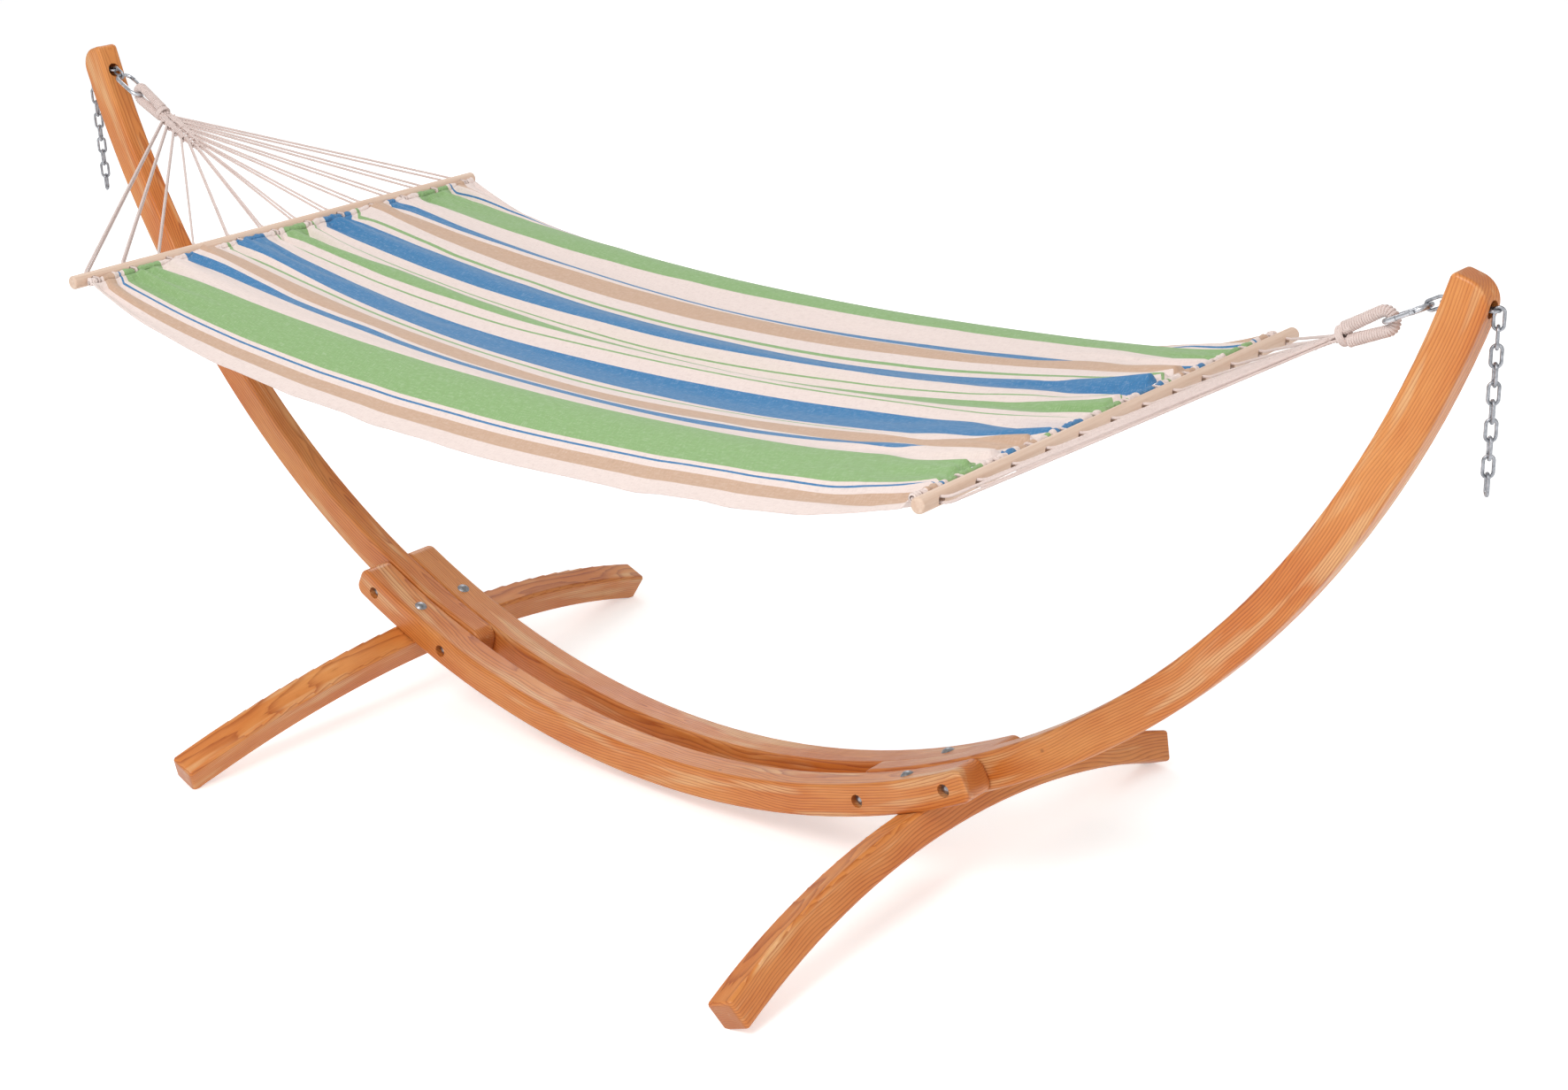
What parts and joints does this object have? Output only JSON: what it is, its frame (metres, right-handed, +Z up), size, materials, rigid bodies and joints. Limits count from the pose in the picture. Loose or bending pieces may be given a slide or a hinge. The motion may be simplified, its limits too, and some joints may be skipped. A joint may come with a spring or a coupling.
{
  "type": "hammock on stand",
  "caption": "Striped spreader-bar hammock hung by chains, snap hooks and corded eyes between the arms of a curved laminated larch stand on two arched cross feet.",
  "frame": {"origin": "on the floor, below the middle of the stand; z = 0 is the plane of the four foot landings", "axes": "+X along the length towards the right-hand arm, +Y to the rear, +Z up"},
  "size_m": [3.1878, 1.216, 1.2134],
  "materials": {
    "larch": "oiled, satin, warm orange larch",
    "pale_wood": "plain turned softwood, unvarnished",
    "galvanised_steel": "zinc plated, worn",
    "bright_steel": "bright zinc",
    "cotton_cord": "twisted natural cotton",
    "striped_cotton": "woven cotton with green, blue and tan stripes"
  },
  "bodies": {
    "stand": {"left_arm": "larch", "right_arm": "larch", "front_beam": "larch", "rear_beam": "larch", "left_foot": "larch", "right_foot": "larch", "beam_bolts": "galvanised_steel", "beam_bolt_washers": "galvanised_steel", "beam_bolt_nuts": "galvanised_steel", "foot_bolts": "galvanised_steel", "foot_bolt_washers": "galvanised_steel", "foot_bolt_nuts": "galvanised_steel", "chain_pins": "galvanised_steel", "left_bore_links": "galvanised_steel", "right_bore_links": "galvanised_steel"},
    "hammock": {"bed": "striped_cotton", "left_neck_link": "galvanised_steel", "left_hook": "bright_steel", "left_gate_rivet": "bright_steel", "left_eye": "cotton_cord", "left_eye_band": "cotton_cord", "left_clew": "cotton_cord", "left_cords": "cotton_cord", "left_bar": "pale_wood", "left_hem_rope": "cotton_cord", "right_neck_link": "galvanised_steel", "right_hook": "bright_steel", "right_gate_rivet": "bright_steel", "right_eye": "cotton_cord", "right_eye_band": "cotton_cord", "right_clew": "cotton_cord", "right_cords": "cotton_cord", "right_bar": "pale_wood", "right_hem_rope": "cotton_cord"},
    "right_gate": {"right_hook_gate": "bright_steel"},
    "right_tail_1": {"right_tail_link_1": "galvanised_steel"},
    "right_tail_2": {"right_tail_link_2": "galvanised_steel"},
    "right_tail_3": {"right_tail_link_3": "galvanised_steel"},
    "right_tail_4": {"right_tail_link_4": "galvanised_steel"},
    "right_tail_5": {"right_tail_link_5": "galvanised_steel"},
    "right_tail_6": {"right_tail_link_6": "galvanised_steel"},
    "right_tail_7": {"right_tail_link_7": "galvanised_steel"},
    "right_tail_8": {"right_tail_link_8": "galvanised_steel"},
    "right_tail_9": {"right_tail_link_9": "galvanised_steel"},
    "right_tail_10": {"right_tail_link_10": "galvanised_steel"},
    "left_gate": {"left_hook_gate": "bright_steel"},
    "left_tail_1": {"left_tail_link_1": "galvanised_steel"},
    "left_tail_2": {"left_tail_link_2": "galvanised_steel"},
    "left_tail_3": {"left_tail_link_3": "galvanised_steel"},
    "left_tail_4": {"left_tail_link_4": "galvanised_steel"},
    "left_tail_5": {"left_tail_link_5": "galvanised_steel"},
    "left_tail_6": {"left_tail_link_6": "galvanised_steel"},
    "left_tail_7": {"left_tail_link_7": "galvanised_steel"},
    "left_tail_8": {"left_tail_link_8": "galvanised_steel"},
    "left_tail_9": {"left_tail_link_9": "galvanised_steel"},
    "left_tail_10": {"left_tail_link_10": "galvanised_steel"}
  },
  "joints": [
    {"name": "hammock_swing", "type": "hinge", "parent": "stand", "child": "hammock", "pos_m": [0, 0, 1.16501], "axis": [1, 0, 0], "range_deg": [-25, 25]},
    {"name": "right_gate_hinge", "type": "hinge", "parent": "hammock", "child": "right_gate", "pos_m": [1.4669, -0.0165, 1.14781], "axis": [0.4509, 0, -0.8926], "range_deg": [0, 25], "stiffness_Nm_per_rad": 0.02, "springref_deg": -28.65},
    {"name": "right_tail_1_swing", "type": "hinge", "parent": "stand", "child": "right_tail_1", "pos_m": [1.58435, 0, 1.16501], "axis": [0.225, -0.9744, 0], "range_deg": [-4, 30]},
    {"name": "right_tail_2_swing", "type": "hinge", "parent": "right_tail_1", "child": "right_tail_2", "pos_m": [1.58435, 0, 1.13891], "axis": [0.8988, 0.4384, 0], "range_deg": [-25, 25]},
    {"name": "right_tail_3_swing", "type": "hinge", "parent": "right_tail_2", "child": "right_tail_3", "pos_m": [1.58435, 0, 1.11281], "axis": [0.6293, -0.7771, 0], "range_deg": [-5, 30]},
    {"name": "right_tail_4_swing", "type": "hinge", "parent": "right_tail_3", "child": "right_tail_4", "pos_m": [1.58435, 0, 1.08671], "axis": [0.7771, 0.6293, 0], "range_deg": [-25, 25]},
    {"name": "right_tail_5_swing", "type": "hinge", "parent": "right_tail_4", "child": "right_tail_5", "pos_m": [1.58435, 0, 1.06061], "axis": [0.6293, -0.7771, 0], "range_deg": [-5, 30]},
    {"name": "right_tail_6_swing", "type": "hinge", "parent": "right_tail_5", "child": "right_tail_6", "pos_m": [1.58435, 0, 1.03451], "axis": [0.7771, 0.6293, 0], "range_deg": [-25, 25]},
    {"name": "right_tail_7_swing", "type": "hinge", "parent": "right_tail_6", "child": "right_tail_7", "pos_m": [1.58435, 0, 1.00841], "axis": [0.6293, -0.7771, 0], "range_deg": [-5, 30]},
    {"name": "right_tail_8_swing", "type": "hinge", "parent": "right_tail_7", "child": "right_tail_8", "pos_m": [1.58435, 0, 0.98231], "axis": [0.7771, 0.6293, 0], "range_deg": [-25, 25]},
    {"name": "right_tail_9_swing", "type": "hinge", "parent": "right_tail_8", "child": "right_tail_9", "pos_m": [1.58435, 0, 0.95621], "axis": [0.6293, -0.7771, 0], "range_deg": [-5, 30]},
    {"name": "right_tail_10_swing", "type": "hinge", "parent": "right_tail_9", "child": "right_tail_10", "pos_m": [1.58435, 0, 0.93011], "axis": [0.7771, 0.6293, 0], "range_deg": [-25, 25]},
    {"name": "left_gate_hinge", "type": "hinge", "parent": "hammock", "child": "left_gate", "pos_m": [-1.4669, 0.0165, 1.14781], "axis": [-0.4509, 0, -0.8926], "range_deg": [0, 25], "stiffness_Nm_per_rad": 0.02, "springref_deg": -28.65},
    {"name": "left_tail_1_swing", "type": "hinge", "parent": "stand", "child": "left_tail_1", "pos_m": [-1.58435, 0, 1.16501], "axis": [-0.225, 0.9744, 0], "range_deg": [-4, 30]},
    {"name": "left_tail_2_swing", "type": "hinge", "parent": "left_tail_1", "child": "left_tail_2", "pos_m": [-1.58435, 0, 1.13891], "axis": [-0.8988, -0.4384, 0], "range_deg": [-25, 25]},
    {"name": "left_tail_3_swing", "type": "hinge", "parent": "left_tail_2", "child": "left_tail_3", "pos_m": [-1.58435, 0, 1.11281], "axis": [-0.6293, 0.7771, 0], "range_deg": [-5, 30]},
    {"name": "left_tail_4_swing", "type": "hinge", "parent": "left_tail_3", "child": "left_tail_4", "pos_m": [-1.58435, 0, 1.08671], "axis": [-0.7771, -0.6293, 0], "range_deg": [-25, 25]},
    {"name": "left_tail_5_swing", "type": "hinge", "parent": "left_tail_4", "child": "left_tail_5", "pos_m": [-1.58435, 0, 1.06061], "axis": [-0.6293, 0.7771, 0], "range_deg": [-5, 30]},
    {"name": "left_tail_6_swing", "type": "hinge", "parent": "left_tail_5", "child": "left_tail_6", "pos_m": [-1.58435, 0, 1.03451], "axis": [-0.7771, -0.6293, 0], "range_deg": [-25, 25]},
    {"name": "left_tail_7_swing", "type": "hinge", "parent": "left_tail_6", "child": "left_tail_7", "pos_m": [-1.58435, 0, 1.00841], "axis": [-0.6293, 0.7771, 0], "range_deg": [-5, 30]},
    {"name": "left_tail_8_swing", "type": "hinge", "parent": "left_tail_7", "child": "left_tail_8", "pos_m": [-1.58435, 0, 0.98231], "axis": [-0.7771, -0.6293, 0], "range_deg": [-25, 25]},
    {"name": "left_tail_9_swing", "type": "hinge", "parent": "left_tail_8", "child": "left_tail_9", "pos_m": [-1.58435, 0, 0.95621], "axis": [-0.6293, 0.7771, 0], "range_deg": [-5, 30]},
    {"name": "left_tail_10_swing", "type": "hinge", "parent": "left_tail_9", "child": "left_tail_10", "pos_m": [-1.58435, 0, 0.93011], "axis": [-0.7771, -0.6293, 0], "range_deg": [-25, 25]}
  ]
}
